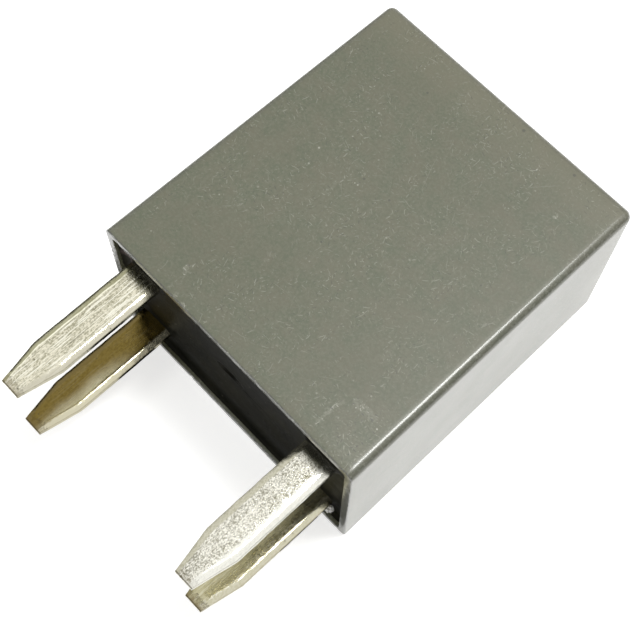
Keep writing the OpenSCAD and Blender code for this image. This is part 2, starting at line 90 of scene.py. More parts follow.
# How finely it is made: rings along its wall, and points along x, along z and at each corner
INNER_END_INSETS = (5.5, 3.5, 2.0)
OUTER_END_INSETS = (1.0, 1.6, 2.4, 3.4, 4.5, 5.8)
CAVITY_ROUND_RINGS = 4
CAVITY_WALL_RINGS = 8
SKIRT_RINGS = 12
RIM_RINGS = 3
WALL_RINGS = 40
EDGE_RINGS = 8
COVER_POINTS = (96, 60, 8)

# A blade
BLADE_W = 2.8
BLADE_T = 0.8
BLADE_TIP_W = 1.5
BLADE_TAPER = 3.2
BLADE_SEAT_Y = 0.9
BEVEL_W = 0.45
BEVEL_T = 0.2
BEVEL_CURVE = 1.5
CROWN = 0.012
EDGE_SWELL = 0.006
EDGE_LAND = 0.02
TIP_BEVEL = 0.9
TIP_BEVEL_NARROWS = 0.4
TIP_THINS = 0.98

# How unevenly it is stamped, the rings that close its tip (share of the section, y from the tip), its fineness
STAMP_SCALE = 1.2
STAMP_WAVES = ((1.0, 0.012), (3.1, 0.006))
STAMP_FINE = (8.0, 0.004)
STAMP_WAVES_IN_Z, STAMP_FINE_IN_Z = 1.6, 2
TIP_RINGS = ((0.93, 0.015), (0.8, 0.0), (0.4, 0.0))
BLADE_RINGS = 80
TIP_BEVEL_RINGS = 10
CROWN_POINTS = 16
BEVEL_POINTS = 6

# Each terminal's blade: the record's mount at its middle, and the seed of its uneven edges
BLADES = {
    "coil_terminal_front": ("coil_blade_front", -4),
    "coil_terminal_back": ("coil_blade_back", -10),
    "common_terminal": ("common_blade", 10),
    "contact_terminal": ("contact_blade", 4),
}

# The resin's surface: its climb and how fast that fades, its waves (height, x scale, offset, z scale),
# its dimples (x, z, half length, half width, depth) with their raised lips, and its bubbles
WALL_CLIMB, WALL_CLIMB_FADE = 0.34, 0.22
BLADE_CLIMB, BLADE_CLIMB_FADE = 0.26, 0.2
RESIN_WAVES = ((0.035, 0.23, 3, 0.4), (0.012, 0.9, 9, 0.9))
RESIN_DIMPLES = ((-0.6, 0.65, 1.3, 0.62, 0.33), (8.9, 0.9, 0.3, 0.26, 0.2), (-9.9, 5.9, 0.24, 0.2, 0.16))
DIMPLE_CURVE = 1.5
DIMPLE_LIP, DIMPLE_LIP_AT, DIMPLE_LIP_WIDTH = 0.03, 1.15, 0.2
BUBBLES = 9
BUBBLE_SEED = 40
BUBBLE_X, BUBBLE_Z = 10, 6.2
BUBBLE_SIZES = (0.09, 0.2)
BUBBLE_HEIGHT = 0.05
RESIN_EDGE_INSETS = (0, 0.03, 0.07, 0.12, 0.18, 0.25, 0.34, 0.45, 0.58)
RESIN_INSET_STEP = 0.14
RESIN_LAST_INSET = 0.2
RESIN_LEAST_R = 0.02
RESIN_POINTS = (150, 96, 5)

# The dried white speck by a blade
SPECK_R = 0.3
SPECK_SUBDIVISIONS = 5
SPECK_STRETCH = (1.5, 1.0, 1.2)
SPECK_LUMPS = ((7, 0.5), (20, 0.05))
SPECK_FROM_BLADE = (BLADE_W / 2 - 0.28, -0.42, -1.5)

# Where the contact spring starts and stops bending as the armature turns, and the strips between the two
HINGE = [c / MM for c in frame["joints"][0]["pos_m"]]
BEND_START = (HINGE[0] - 0.3, HINGE[1] - 0.4, 0.0)
BEND_END = (HINGE[0] + 0.7, HINGE[1] + 1.4, 0.0)
BEND_STRIPS = 6

# CAD corners closer than this are joined, and faces that meet at more than these angles keep a sharp edge
JOIN_WITHIN = 0.0005
SHARP_ON_COVER = 35
SHARP_ON_METAL = 30
SHARP_ON_RESIN = 60

# The camera, fitted to the photographed outline
CAMERA_TARGET = (-0.05, 8.46, 0.0)
CAMERA_AZIMUTH = 44.50
CAMERA_ELEVATION = 67.72
CAMERA_ROLL = 2.14
CAMERA_DISTANCE = 92.69
CAMERA_LENS = 75.33
CAMERA_SENSOR = 36.0
CAMERA_CLIP_M = (0.001, 10.0)

# The studio. A lamp has an azimuth, an elevation, its distance and size in metres, and its power in watts.
# A standing card has the azimuth of its middle, the angle that it spans, its distance and its height.
LAMPS = {"key": (150, 71, 0.5, 0.13, 1.45), "rim": (345, 42, 0.45, 0.12, 0.28)}
LAMPS_AIM_Y = 8
STANDING_CARDS = {"card_right": (96, 70, 150, 30), "card_left": (250, 60, 150, 28)}
CARD_SEGMENTS = 12
# The black card on the floor under the blades, seen only in reflections, is painted shade for the floor's shade
# there
CARD_BELOW = ((-16.0, -4.0), (11.0, -0.4))
CARD_BELOW_LIFT = 0.12
FLOOR_HALF_M = 1.5
FLOOR_SQUARES = 8
FLOOR_COLOUR = (0.82, 0.82, 0.81)
FLOOR_ROUGHNESS = 0.9
FLOOR_GLOW = 0.6
FLOOR_GLOW_IN_GLOSS = 0.5
WORLD_FILL = 0.45
WHITE = (1.0, 1.0, 1.0)


def box_mm(node):
    """A node's lowest and highest corner in millimetres."""
    low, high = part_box(node)
    return low / MM, high / MM


COVER_LOW, COVER_HIGH = box_mm("cover")
HALF_W = (COVER_HIGH.x - COVER_LOW.x) / 2
HALF_T = (COVER_HIGH.z - COVER_LOW.z) / 2
COVER_H = COVER_HIGH.y
RESIN_LOW, RESIN_HIGH = box_mm("sealant")
MOUNTS = {mount["name"]: mount["pos_m"] for mount in frame["record"]["mounts"]}
BLADE_PLACES = {node: (MOUNTS[mount][0] / MM, MOUNTS[mount][2] / MM) for node, (mount, _) in BLADES.items()}


# -------- mesh helpers


def half_width(y):
    """Half the cover's width at that height."""
    return HALF_W - COVER_DRAFT * y / COVER_H


def half_depth(y):
    """Half the cover's thickness at that height."""
    return HALF_T - COVER_DRAFT * y / COVER_H


def spread(low, high, steps):
    """Evenly spaced values from low to high, both included."""
    return [low + (high - low) * i / steps for i in range(steps + 1)]


def quarter_turn(steps, first=1):
    """A quarter turn's angles in radians, from the first step on."""
    return [math.radians(90 * step / steps) for step in range(first, steps + 1)]


def clamp(value, low=0, high=1):
    return min(high, max(low, value))


def ring_points(half_x, half_z, radius, steps_x, steps_z, steps_corner):
    """Points round a rounded rectangle in x and z. Every ring with the same steps has as many points."""

    def on_corner(side_x, side_z, angle):
        x = side_x * (half_x - radius) + radius * math.cos(math.radians(angle))
        z = side_z * (half_z - radius) + radius * math.sin(math.radians(angle))
        return x, z

    points = []
    corners = [(1, 1, 0), (-1, 1, 90), (-1, -1, 180), (1, -1, 270)]
    for index, (side_x, side_z, start) in enumerate(corners):
        for step in range(steps_corner + 1):
            points.append(on_corner(side_x, side_z, start + 90 * step / steps_corner))
        last, goal = points[-1], on_corner(*corners[(index + 1) % 4])
        steps = steps_x if index % 2 == 0 else steps_z
        for step in range(1, steps):
            part = step / steps
            points.append((last[0] + (goal[0] - last[0]) * part, last[1] + (goal[1] - last[1]) * part))
    return points


def loft(bm, rings):
    """Quads between closed rings of as many points each, and a face at either end."""
    made = [[bm.verts.new(p) for p in ring] for ring in rings]
    for low, high in zip(made, made[1:]):
        count = len(low)
        for i in range(count):
            bm.faces.new((low[i], low[(i + 1) % count], high[(i + 1) % count], high[i]))
    bm.faces.new(made[0])
    bm.faces.new(reversed(made[-1]))


def add_object(name, data):
    """A new object in the scene."""
    made = bpy.data.objects.new(name, data)
    bpy.context.scene.collection.objects.link(made)
    return made


def mesh_object(name, bm, material):
    """A new object from a bmesh in metres."""
    mesh = bpy.data.meshes.new(name)
    bm.to_mesh(mesh)
    bm.free()
    mesh.materials.append(material)
    return add_object(name, mesh)


def finished(name, bm, material, sharp_from):
    """A new smooth object from a bmesh in millimetres, sharp where faces meet at more than that angle."""
    bmesh.ops.recalc_face_normals(bm, faces=bm.faces)
    bmesh.ops.scale(bm, vec=(MM, MM, MM), verts=bm.verts)
    for face in bm.faces:
        face.smooth = True
    for edge in bm.edges:
        if len(edge.link_faces) == 2 and edge.calc_face_angle(0) > math.radians(sharp_from):
            edge.smooth = False
    return mesh_object(name, bm, material)


def cad_mesh(node):
    """A copy of a CAD node's mesh as a bmesh in millimetres."""
    bm = bmesh.new()
    bm.from_mesh(frame["nodes"][node].data)
    bmesh.ops.scale(bm, vec=(1 / MM, 1 / MM, 1 / MM), verts=bm.verts)
    bmesh.ops.remove_doubles(bm, verts=bm.verts, dist=JOIN_WITHIN)
    return bm


def cut_at(bm, y, keep_above_only=False):
    """Cuts a bmesh across at that height, and gives what lies on the cut."""
    everything = bm.verts[:] + bm.edges[:] + bm.faces[:]
    cut = bmesh.ops.bisect_plane(
        bm, geom=everything, plane_co=(0, y, 0), plane_no=(0, 1, 0), clear_inner=keep_above_only
    )
    return cut["geom_cut"]


def point_values(piece, name, values):
    """Writes a number on each of a piece's points, for its material to read."""
    layer = piece.data.attributes.new(name, "FLOAT", "POINT")
    for index, value in enumerate(values):
        layer.data[index].value = value


# -------- the cover's mesh


def cover_profile():
    """(inset, y, corner radius) along the wall: from inside the closed end, over the rim, to its outside."""
    inner_top = COVER_H - END_WALL
    profile = [(inset, inner_top, INNER_LEAST_R) for inset in (*INNER_END_INSETS, SIDE_WALL + CAVITY_R)]
    for angle in quarter_turn(CAVITY_ROUND_RINGS):
        inset = SIDE_WALL + CAVITY_R * (1 - math.sin(angle))
        y = inner_top - CAVITY_R * (1 - math.cos(angle))
        profile.append((inset, y, max(CAVITY_R * math.sin(angle), INNER_LEAST_R)))
    for y in spread(inner_top - CAVITY_R, LEDGE_Y, CAVITY_WALL_RINGS)[1:]:
        profile.append((SIDE_WALL, y, CAVITY_R))
    profile.append((SKIRT_WALL, LEDGE_Y - LEDGE_DROP, SKIRT_R))
    for y in spread(LEDGE_Y, RIM_ROUND, SKIRT_RINGS)[1:]:
        profile.append((SKIRT_WALL, y, SKIRT_R))
    for angle in quarter_turn(RIM_RINGS):
        inset = SKIRT_WALL - RIM_ROUND * (1 - math.cos(angle))
        profile.append((inset, RIM_ROUND * (1 - math.sin(angle)), SKIRT_R + SKIRT_WALL - inset))
    for angle in quarter_turn(RIM_RINGS, first=0):
        inset = RIM_ROUND * (1 - math.sin(angle))
        profile.append((inset, RIM_ROUND * (1 - math.cos(angle)), EDGE_R - inset))
    for y in spread(RIM_ROUND, COVER_H - EDGE_R, WALL_RINGS)[1:]:
        profile.append((0, y, EDGE_R))
    for angle in quarter_turn(EDGE_RINGS):
        inset = EDGE_R * (1 - math.cos(angle))
        profile.append((inset, COVER_H - EDGE_R * (1 - math.sin(angle)), max(EDGE_R - inset, OUTER_LEAST_R)))
    profile += [(inset, COVER_H, OUTER_LEAST_R) for inset in OUTER_END_INSETS]
    return profile


def sink_and_nick(vert):
    """Moves a point of the cover in where its face is sunk, and up where the rim is nicked."""
    x, y, z = vert.co
    middle = COVER_H / 2
    across, along, deep = x / HALF_W, (y - middle) / middle, z / HALF_T
    if abs(deep) > WIDE_FACE_FROM:
        vert.co.z -= math.copysign(SINK * max(0, 1 - across * across) * max(0, 1 - along * along), z)
    if abs(across) > NARROW_FACE_FROM:
        vert.co.x -= math.copysign(SINK * max(0, 1 - deep * deep) * max(0, 1 - along * along), x)
    if y < NICKED_BAND:
        place = Vector([c * NICK_PLACE_SCALE for c in (x, y, z)])
        nick = max(0, noise.noise(place * NICK_SCALE) - NICK_FROM) * NICK_DEPTH
        nick += noise.noise(place * RIM_WAVE_SCALE) * RIM_WAVE_DEPTH
        vert.co.y += nick * (1 - y / NICKED_BAND)


def edge_wear_and_shade(point):
    """How far a point of the cover is into a rounded edge, 1 at its middle, for the edges' wear and their painted
    shade.
    """
    x, y, z = (c / MM for c in point)
    into = [
        (abs(x) - half_width(y) + EDGE_R) / EDGE_R,
        (y - COVER_H + EDGE_R) / EDGE_R,
        (abs(z) - half_depth(y) + EDGE_R) / EDGE_R,
    ]
    return clamp(sorted(into)[1] / EDGE_WEAR_AND_SHADE_FULL)


def cover_mesh(material):
    """The cap, with its hollow inside, faintly sunk faces and a rim with small nicks."""
    bm = bmesh.new()
    rings = []
    for inset, y, radius in cover_profile():
        flat = ring_points(half_width(y) - inset, half_depth(y) - inset, radius, *COVER_POINTS)
        rings.append([(x, y, z) for x, z in flat])
    loft(bm, rings)
    for vert in bm.verts:
        sink_and_nick(vert)
    shell = finished("cover_shell", bm, material, SHARP_ON_COVER)
    point_values(shell, "edge", [edge_wear_and_shade(vert.co) for vert in shell.data.vertices])
    return shell


# -------- the blades' meshes


def blade_half_width(y, tip_y):
    """Half a blade's width at that height, above its tip."""
    taper = clamp((tip_y + BLADE_TAPER - y) / BLADE_TAPER)
    return (BLADE_W + (BLADE_TIP_W - BLADE_W) * taper) / 2


def blade_section(half_x, half_z, cut_x, cut_z):
    """Points round a blade's section in x and z: faintly crowned faces, rolled bevels and flat edges."""
    crown = [(part * (half_x - cut_x), half_z - CROWN * part * part) for part in spread(-1, 1, CROWN_POINTS)]
    bevel = []
    for part in spread(0, 1, BEVEL_POINTS)[1:]:
        drop = (cut_z - CROWN) * part ** BEVEL_CURVE
        bevel.append((half_x - cut_x + cut_x * part, half_z - CROWN - drop))
    edge = [(half_x + EDGE_SWELL, (half_z - cut_z) * part) for part in (0.5, 0.0, -0.5)]
    half = [(-x, z) for x, z in reversed(bevel)] + crown + bevel + edge
    return half + [(-x, -z) for x, z in half]


def blade_ring(centre_x, centre_z, tip_y, y, seed):
    """A blade's outline at that height, with slightly uneven stamped edges."""
    end = clamp((tip_y + TIP_BEVEL - y) / TIP_BEVEL)
    half_z = BLADE_T / 2 - BEVEL_T * end * TIP_THINS
    cut_x = BEVEL_W * (1 - TIP_BEVEL_NARROWS * end)
    cut_z = BEVEL_T * (1 - end) + EDGE_LAND
    fine_scale, fine_height = STAMP_FINE
    ring = []
    for x, z in blade_section(blade_half_width(y, tip_y), half_z, cut_x, cut_z):
        place = Vector((x * STAMP_SCALE + seed, y * STAMP_SCALE, z * STAMP_SCALE + seed))
        wave = sum(noise.noise(place * scale) * height for scale, height in STAMP_WAVES)
        fine = noise.noise(place * fine_scale) * fine_height
        in_z = 1 + STAMP_WAVES_IN_Z * wave + STAMP_FINE_IN_Z * fine
        ring.append((centre_x + x * (1 + wave + fine), y, centre_z + z * in_z))
    return ring


def blade_rings(centre_x, centre_z, tip_y, seed):
    """Outlines of one blade from inside the resin to its tip, which the last few close."""
    heights = spread(BLADE_SEAT_Y, tip_y + TIP_BEVEL, BLADE_RINGS)
    heights += spread(tip_y + TIP_BEVEL, tip_y, TIP_BEVEL_RINGS)[1:]
    rings = [blade_ring(centre_x, centre_z, tip_y, y, seed) for y in heights]
    last = rings[-1]
    mean_x = sum(p[0] for p in last) / len(last)
    mean_z = sum(p[2] for p in last) / len(last)
    for share, lift in TIP_RINGS:
        y = tip_y + lift
        rings.append([(mean_x + (x - mean_x) * share, y, mean_z + (z - mean_z) * share) for x, _, z in last])
    return rings


def add_inner_part(bm, node):
    """Adds the CAD node's own shape above the blade, which is inside the cover."""
    own = cad_mesh(node)
    cut = cut_at(own, BLADE_SEAT_Y, keep_above_only=True)
    bmesh.ops.edgeloop_fill(own, edges=[g for g in cut if isinstance(g, bmesh.types.BMEdge)])
    made = {v: bm.verts.new(v.co) for v in own.verts}
    for face in own.faces:
        bm.faces.new([made[v] for v in face.verts])
    own.free()


def terminal_mesh(node, material):
    """One terminal: its blade, and the part inside as the CAD has it.

    Each point keeps where it is across the blade, -1 to 1, and how far from its tip, for the painted light and
    shade on the plating.
    """
    tip_y = box_mm(node)[0].y
    x, z = BLADE_PLACES[node]
    bm = bmesh.new()
    loft(bm, blade_rings(x, z, tip_y, seed=BLADES[node][1]))
    add_inner_part(bm, node)
    piece = finished(node + "_plated", bm, material, SHARP_ON_METAL)
    points = [(vert.co.x / MM - x, vert.co.y / MM) for vert in piece.data.vertices]
    point_values(piece, "across", [clamp(from_x / blade_half_width(y, tip_y), -1) for from_x, y in points])
    point_values(piece, "from_tip", [y - tip_y for _, y in points])
    return piece


# -------- the resin's and the spring's meshes


def bubble(index):
    """A bubble's place and size."""
    pick = random.Random(BUBBLE_SEED + index)
    return pick.uniform(-BUBBLE_X, BUBBLE_X), pick.uniform(-BUBBLE_Z, BUBBLE_Z), pick.uniform(*BUBBLE_SIZES)


def resin_height(x, z, bubbles):
    """How far the resin's surface is from its flat level, toward the blades."""
    wall = min(RESIN_HIGH.x - abs(x), RESIN_HIGH.z - abs(z))
    rise = WALL_CLIMB * math.exp(-wall / WALL_CLIMB_FADE)
    for at_x, at_z in BLADE_PLACES.values():
        away = math.hypot(max(0, abs(x - at_x) - BLADE_W / 2), max(0, abs(z - at_z) - BLADE_T / 2))
        rise += BLADE_CLIMB * math.exp(-away / BLADE_CLIMB_FADE)
    rise += sum(
        height * noise.noise(Vector((x * scale_x, offset, z * scale_z)))
        for height, scale_x, offset, scale_z in RESIN_WAVES
    )
    for at_x, at_z, long, wide, depth in RESIN_DIMPLES:
        reach = math.hypot((x - at_x) / long, (z - at_z) / wide)
        rise -= depth * max(0, 1 - reach * reach) ** DIMPLE_CURVE
        rise += DIMPLE_LIP * math.exp(-(((reach - DIMPLE_LIP_AT) / DIMPLE_LIP_WIDTH) ** 2))
    for at_x, at_z, size in bubbles:
        reach = math.hypot(x - at_x, z - at_z) / size
        rise += BUBBLE_HEIGHT * max(0, 1 - reach * reach)
    return rise


def resin_mesh(material):
    """The poured resin: its surface climbs the walls and blades, with a long dimple and small bubbles."""
    half_x, half_z = RESIN_HIGH.x, RESIN_HIGH.z
    bubbles = [bubble(index) for index in range(BUBBLES)]
    rings = [[(x, RESIN_HIGH.y, z) for x, z in ring_points(half_x, half_z, SKIRT_R, *RESIN_POINTS)]]
    insets = list(RESIN_EDGE_INSETS)
    while insets[-1] < half_z - RESIN_LAST_INSET:
        insets.append(insets[-1] + RESIN_INSET_STEP)
    for inset in insets:
        flat = ring_points(half_x - inset, half_z - inset, max(SKIRT_R - inset, RESIN_LEAST_R), *RESIN_POINTS)
        rings.append([(x, RESIN_LOW.y - resin_height(x, z, bubbles), z) for x, z in flat])
    bm = bmesh.new()
    loft(bm, rings)
    return finished("resin_pour", bm, material, SHARP_ON_RESIN)


def glue_speck(material):
    """The dried white speck beside the contact terminal's blade."""
    x, z = BLADE_PLACES["contact_terminal"]
    from_x, from_y, from_z = SPECK_FROM_BLADE
    bm = bmesh.new()
    bmesh.ops.create_icosphere(bm, subdivisions=SPECK_SUBDIVISIONS, radius=SPECK_R)
    for vert in bm.verts:
        lump = 1 + sum(share * noise.noise(vert.co * scale) for scale, share in SPECK_LUMPS)
        vert.co = Vector([c * stretch * lump for c, stretch in zip(vert.co, SPECK_STRETCH)])
    bmesh.ops.translate(bm, vec=(x + from_x, RESIN_LOW.y + from_y, z + from_z), verts=bm.verts)
    return finished("resin_speck", bm, material, SHARP_ON_RESIN)


def spring_leaf(material):
    """A copy of the contact spring, cut finely where it bends."""
    leaf = cad_mesh("contact_spring")
    for y in spread(BEND_START[1], BEND_END[1], BEND_STRIPS):
        cut_at(leaf, y)
    return finished("spring_leaf", leaf, material, SHARP_ON_METAL)


# -------- node helpers


def feed(tree, socket, value):
    """Links a socket to another one, or sets it to a number, a vector or a colour."""
    if isinstance(value, bpy.types.NodeSocket):
        tree.links.new(value, socket)
    elif socket.type == "RGBA":
        socket.default_value = (*value, 1.0)
    else:
        socket.default_value = value


def feed_inputs(tree, node, **values):
    """Feeds a node's inputs by their names, in which underscores stand for spaces."""
    for name, value in values.items():
        feed(tree, node.inputs[name.replace("_", " ")], value)
    return node


def math_node(tree, operation, *values, clamped=False):
    """Adds a math node and gives its output socket."""
    node = tree.nodes.new("ShaderNodeMath")
    node.operation = operation
    node.use_clamp = clamped
    for socket, value in zip(node.inputs, values):
        feed(tree, socket, value)
    return node.outputs[0]


def first_node(tree, kind):
    """The node of that type that the tree starts with."""
    return next(node for node in tree.nodes if node.type == kind)


class Graph:
    """A material being wired. Every call but finish adds nodes and gives the last one's output."""

    MIX_UNDER, MIX_OVER, MIX_RESULT = 6, 7, 2
    FACING = 0.6
    FACES_APART = 57.0

    def __init__(self, name):
        self.material = bpy.data.materials.new(name)
        self.material.use_nodes = True
        self.tree = self.material.node_tree
        coords = self.tree.nodes.new("ShaderNodeTexCoord")
        self.place = self.vector("SCALE", coords.outputs["Object"], Scale=1 / MM)
        self.normal = coords.outputs["Normal"]

    def add(self, kind, **values):
        return feed_inputs(self.tree, self.tree.nodes.new(kind), **values)

    def finish(self, **values):
        """Feeds the shader's inputs by their names and gives the material."""
        feed_inputs(self.tree, first_node(self.tree, "BSDF_PRINCIPLED"), **values)
        return self.material

    def vector(self, operation, a, b=None, **values):
        node = self.add("ShaderNodeVectorMath")
        node.operation = operation
        feed(self.tree, node.inputs[0], a)
        if b is not None:
            feed(self.tree, node.inputs[1], b)
        feed_inputs(self.tree, node, **values)
        return node.outputs["Value" if operation == "DISTANCE" else "Vector"]

    def math(self, operation, a, b=0.0):
        return math_node(self.tree, operation, a, b)

    def times(self, first, *others):
        for other in others:
            first = self.math("MULTIPLY", first, other)
        return first

    def plus(self, first, *others):
        for other in others:
            first = self.math("ADD", first, other)
        return first

    def minus(self, a, b):
        return self.math("SUBTRACT", a, b)

    def split(self, vector):
        return self.add("ShaderNodeSeparateXYZ", Vector=vector).outputs

    def join(self, x, y, z):
        return self.add("ShaderNodeCombineXYZ", X=x, Y=y, Z=z).outputs[0]

    def attribute(self, name):
        node = self.add("ShaderNodeAttribute")
        node.attribute_name = name
        return node.outputs["Fac"]

    def noise(self, place, scale, detail=3.0, roughness=0.5, output="Fac"):
        node = self.add("ShaderNodeTexNoise", Vector=place, Scale=scale, Detail=detail, Roughness=roughness)
        return node.outputs[output]

    def cells(self, place, scale):
        """Cells in a plane, each with its own colour and middle point."""
        node = self.add("ShaderNodeTexVoronoi", Vector=place, Scale=scale)
        node.voronoi_dimensions = "2D"
        return node.outputs

    def between(self, value, low, high, to_low=0.0, to_high=1.0):
        """Eases from to_low to to_high as the value goes from low to high."""
        node = self.add(
            "ShaderNodeMapRange", Value=value, From_Min=low, From_Max=high, To_Min=to_low, To_Max=to_high
        )
        node.interpolation_type = "SMOOTHSTEP"
        return node.outputs["Result"]

    def fading(self, value, full, gone, most=1.0):
        """Eases from the most to 0 as the value goes from full to gone."""
        return self.between(value, full, gone, most, 0.0)

    def band(self, value, start, full, fading, gone):
        """1 in a band of the value, easing to 0 on both sides."""
        return self.times(self.between(value, start, full), self.fading(value, fading, gone))

    def wavering(self, value, by, amount):
        """A value with that amount of a noise, which has 0.5 as its middle, added."""
        return self.plus(value, self.times(self.minus(by, 0.5), amount))

    def paint(self, under, over, *shares):
        """Lays a colour over another, as far as the shares multiplied."""
        node = self.add("ShaderNodeMix")
        node.data_type = "RGBA"
        feed(self.tree, node.inputs["Factor"], self.times(*shares))
        feed(self.tree, node.inputs[self.MIX_UNDER], under)
        feed(self.tree, node.inputs[self.MIX_OVER], over)
        return node.outputs[self.MIX_RESULT]

    def bump(self, height, depth, strength, **onto):
        """A bumped normal, of that depth in millimetres. Normal=... puts it on top of an earlier one."""
        node = self.add("ShaderNodeBump", Height=height, Distance=depth * MM, Strength=strength, **onto)
        return node.outputs[0]

    def either(self, first, second, pick):
        """The first value where pick is 0, the second where it is 1."""
        return self.plus(self.times(first, self.minus(1.0, pick)), self.times(second, pick))

    def flat_place(self):
        """Two coordinates along whichever way the surface faces, in millimetres."""
        x, y, z = self.split(self.place)
        faces = self.split(self.vector("ABSOLUTE", self.normal))
        side = self.math("GREATER_THAN", faces[0], self.FACING)
        end = self.math("GREATER_THAN", faces[1], self.FACING)
        shift = self.times(self.plus(side, self.times(end, 2.0)), self.FACES_APART)
        return self.join(self.plus(self.either(x, z, side), shift), self.either(y, z, end), 0.0)

    def scratches(self, place, cell, length, width, share, seed, bend):
        """A mask of short curved strokes: at most one to a cell of that size, each at its own angle."""
        seeded = self.vector("ADD", place, (seed, seed * 0.7, 0.0))
        waver = self.noise(seeded, scale=0.9 / cell, detail=2.0, output="Color")
        off = self.vector("SCALE", self.vector("SUBTRACT", waver, (0.5, 0.5, 0.5)), Scale=bend * cell * 2)
        moved = self.vector("ADD", self.vector("ADD", place, off), (seed * 13.7, seed * 5.3, 0.0))
        cells = self.cells(moved, 1 / cell)
        angle, chosen, longer = self.split(cells["Color"])
        turn = self.add(
            "ShaderNodeVectorRotate",
            Vector=self.vector("SUBTRACT", moved, cells["Position"]), Angle=self.times(angle, math.tau),
        )
        turn.rotation_type = "Z_AXIS"
        along, across, _ = self.split(turn.outputs["Vector"])
        reach = self.times(self.plus(longer, 0.35), length / 2)
        ends = self.fading(self.math("ABSOLUTE", along), self.times(reach, 0.4), reach)
        line = self.fading(self.math("ABSOLUTE", across), width * 0.3, width)
        return self.times(ends, line, self.math("LESS_THAN", chosen, share))

    def specks(self, place, cell, size, share, seed):
        """A mask of small round specks, at most one to a cell."""
        moved = self.vector("ADD", place, (seed * 3.1, seed * 7.9, 0.0))
        cells = self.cells(moved, 1 / cell)
        _, chosen, bigger = self.split(cells["Color"])
        away = self.vector("DISTANCE", moved, cells["Position"])
        reach = self.times(self.plus(bigger, 0.5), size)
        dot = self.fading(away, self.times(reach, 0.4), reach)
        return self.times(dot, self.math("LESS_THAN", chosen, share))


# -------- the cover's material

COVER_GREEN = (0.085, 0.098, 0.054)
COVER_BROWN = (0.109, 0.107, 0.064)
COVER_PALE = (0.125, 0.128, 0.081)
COVER_WARM_SHEEN = (0.150, 0.141, 0.088)
COVER_SCUFF = (0.42, 0.42, 0.35)
# Dirt for the dark marks and specks, and painted shade on the rim's end and the rounded edges
COVER_DIRT_AND_SHADE = (0.035, 0.036, 0.026)

# Its marks (cell, length, width, share of the cells, seed, bend) and its specks (cell, size, share, seed)
LIGHT_MARKS = (
    (0.5, 0.46, 0.042, 0.4, 2.0, 0.2),
    (1.3, 1.0, 0.028, 0.3, 1.0, 0.2),
    (0.26, 0.2, 0.034, 0.45, 3.0, 0.16),
    (5.0, 2.4, 0.02, 0.12, 7.0, 0.1),
)
DARK_MARKS = (0.42, 0.34, 0.045, 0.55, 5.0, 0.12)
BRIGHT_SPECKS = (1.2, 0.07, 0.2, 4.0)
DARK_SPECKS = (2.6, 0.11, 0.16, 9.0)
RIM_DUST = (0.7, 0.08, 0.3, 11.0)

# The rubbed places on the face that looks up, where the two broad faint ones at x 9.4 and 10.2 are painted light:
# x, y, half length along y, half width, strength
RUBS_AND_LIGHT = (
    (7.4, 2.0, 1.2, 0.2, 0.32),
    (8.9, 3.65, 0.34, 1.1, 0.26),
    (10.2, 0.9, 1.8, 1.7, 0.08),
    (9.4, 2.8, 2.2, 1.6, 0.045),
    (8.0, 22.0, 0.3, 0.12, 0.35),
    (-2.0, 23.7, 1.3, 1.2, 0.04),
    (-3.6, 13.0, 1.4, 0.25, 0.06),
    (-2.75, 6.3, 0.9, 0.3, 0.06),
    (7.3, 7.5, 1.0, 0.3, 0.06),
    (-5.6, 1.9, 0.6, 0.14, 0.3),
    (-4.85, 0.25, 0.25, 0.2, 0.3),
    (-3.9, 0.12, 0.15, 0.3, 0.3),
    (0.9, 2.9, 1.6, 0.3, 0.04),
    (4.0, 15.5, 2.8, 1.4, 0.02),
    (-7.2, 7.6, 1.0, 0.6, 0.04),
)


def cover_wear_and_light(g, broad):
    """How worn the cover is, and how far its rubbed places are hazed, two broad patches of it being painted light.
    """
    x, y, z = g.split(g.place)
    front = g.between(z, HALF_T - 0.6, HALF_T - 0.3)
    drag = g.noise(g.join(x, g.times(y, 0.22), z), scale=0.9, roughness=0.6)
    worn = g.plus(g.between(drag, 0.46, 0.62, 0.0, 0.6), g.between(broad, 0.4, 0.6, 0.1, 0.4))
    from_corner = g.vector("DISTANCE", g.place, (HALF_W - 1.0, 0.5, HALF_T))
    worn = g.plus(worn, g.times(front, g.fading(from_corner, 0.5, 6.5), 0.3))
    waver = g.noise(g.place, scale=0.9, detail=4.0, roughness=0.65)
    shaken = g.wavering(x, waver, 1.6)
    haze = 0.0
    for at_x, at_y, long, wide, strength in RUBS_AND_LIGHT:
        dx = g.math("DIVIDE", g.minus(shaken, at_x), wide)
        dy = g.math("DIVIDE", g.minus(y, at_y), long)
        rub = g.times(g.fading(g.plus(g.times(dx, dx), g.times(dy, dy)), 0.15, 1.3), front)
        worn = g.plus(worn, g.times(rub, 8 * strength))
        haze = g.math("MAXIMUM", haze, g.times(rub, strength))
    return worn, haze


def cover_marks(g, flat, worn):
    """A mask of the pale marks on the cover."""
    pale, hairs, fine, long = (g.scratches(flat, *marks) for marks in LIGHT_MARKS)
    light = g.math("MAXIMUM", g.math("MAXIMUM", pale, hairs), g.times(fine, 0.8))
    return g.math("MAXIMUM", g.times(light, worn), g.times(long, 0.5))


